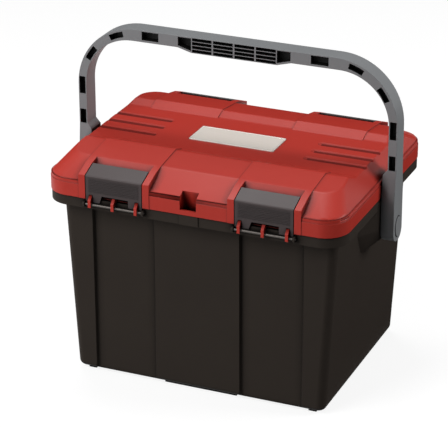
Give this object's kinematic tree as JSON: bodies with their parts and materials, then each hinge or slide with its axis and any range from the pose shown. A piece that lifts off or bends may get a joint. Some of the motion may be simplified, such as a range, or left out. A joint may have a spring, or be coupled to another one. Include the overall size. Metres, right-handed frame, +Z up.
{
  "type": "tackle box",
  "caption": "Rectangular tackle box: a tapered tub under a moulded lid with bevelled shoulders, lever latches over wire rods, and a folding bail handle with a hand grip.",
  "frame": {"origin": "centre of the footprint, on the floor under the feet", "axes": "+Z up, +X along the width to the right of someone who faces the front, -Y out of the front"},
  "size_m": [0.5154, 0.3836, 0.509],
  "materials": {
    "tub_plastic": "fine moulded grain",
    "lid_plastic": "satin moulded",
    "label_plate": "satin foil",
    "latch_plastic": "satin moulded",
    "steel": "plated wire",
    "handle_plastic": "satin moulded",
    "pin_plastic": "moulded"
  },
  "bodies": {
    "tub": {"tub": "tub_plastic", "rod_front_left": "steel", "rod_front_right": "steel", "rod_rear_left": "steel", "rod_rear_right": "steel", "handle_pin_left": "pin_plastic", "handle_pin_right": "pin_plastic"},
    "lid": {"lid": "lid_plastic", "label_plate": "label_plate", "latch_pin_front_left": "steel", "latch_pin_front_right": "steel", "latch_pin_rear_left": "steel", "latch_pin_rear_right": "steel"},
    "handle": {"handle": "handle_plastic", "handle_cap_left": "handle_plastic", "handle_cap_right": "handle_plastic"},
    "latch_front_left": {"latch_front_left": "latch_plastic"},
    "latch_front_right": {"latch_front_right": "latch_plastic"},
    "latch_rear_left": {"latch_rear_left": "latch_plastic"},
    "latch_rear_right": {"latch_rear_right": "latch_plastic"}
  },
  "joints": [
    {"name": "lid_hinge", "type": "hinge", "parent": "tub", "child": "lid", "pos_m": [0, 0.187, 0.2945], "axis": [-1, 0, 0], "range_deg": [0, 52]},
    {"name": "handle_hinge", "type": "hinge", "parent": "tub", "child": "handle", "pos_m": [0, 0, 0.2536], "axis": [-1, 0, 0], "range_deg": [0, 130]},
    {"name": "latch_front_left_hinge", "type": "hinge", "parent": "lid", "child": "latch_front_left", "pos_m": [-0.118, -0.164, 0.3415], "axis": [-1, 0, 0], "range_deg": [0, 95]},
    {"name": "latch_front_right_hinge", "type": "hinge", "parent": "lid", "child": "latch_front_right", "pos_m": [0.118, -0.164, 0.3415], "axis": [-1, 0, 0], "range_deg": [0, 95]},
    {"name": "latch_rear_left_hinge", "type": "hinge", "parent": "lid", "child": "latch_rear_left", "pos_m": [-0.118, 0.164, 0.3415], "axis": [1, 0, 0], "range_deg": [0, 95]},
    {"name": "latch_rear_right_hinge", "type": "hinge", "parent": "lid", "child": "latch_rear_right", "pos_m": [0.118, 0.164, 0.3415], "axis": [1, 0, 0], "range_deg": [0, 95]}
  ],
  "couplings": [
    {"joint": "handle_hinge", "follows": "lid_hinge", "ratio": 2.5}
  ]
}
